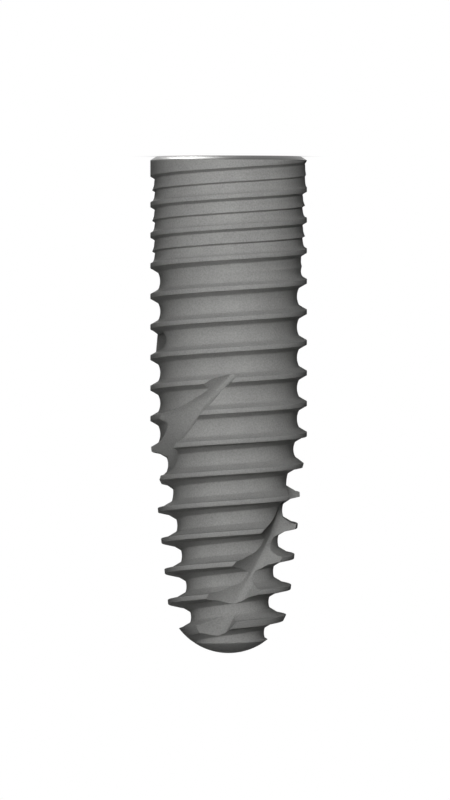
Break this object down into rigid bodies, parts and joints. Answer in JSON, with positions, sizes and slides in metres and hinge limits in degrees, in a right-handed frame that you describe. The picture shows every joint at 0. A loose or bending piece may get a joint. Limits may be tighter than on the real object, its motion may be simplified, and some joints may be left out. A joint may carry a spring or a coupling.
{
  "type": "dental implant",
  "caption": "Bone-level dental implant: tapered self-tapping titanium screw with a fine-ridged neck, deep apical threads, cutting flutes, a rounded apex and a hex socket in its platform.",
  "frame": {"origin": "centre of the platform, the flat ring at the coronal end that the abutment seats on and that the part stands on", "axes": "+Z along the implant's axis, from the platform up to the apex; -Y towards the viewer of the picture, which shows the part the other way up"},
  "size_m": [0.0042, 0.0042, 0.013],
  "materials": {
    "blasted_titanium": null
  },
  "bodies": {
    "root": {"implant_body": "blasted_titanium"}
  },
  "joints": []
}
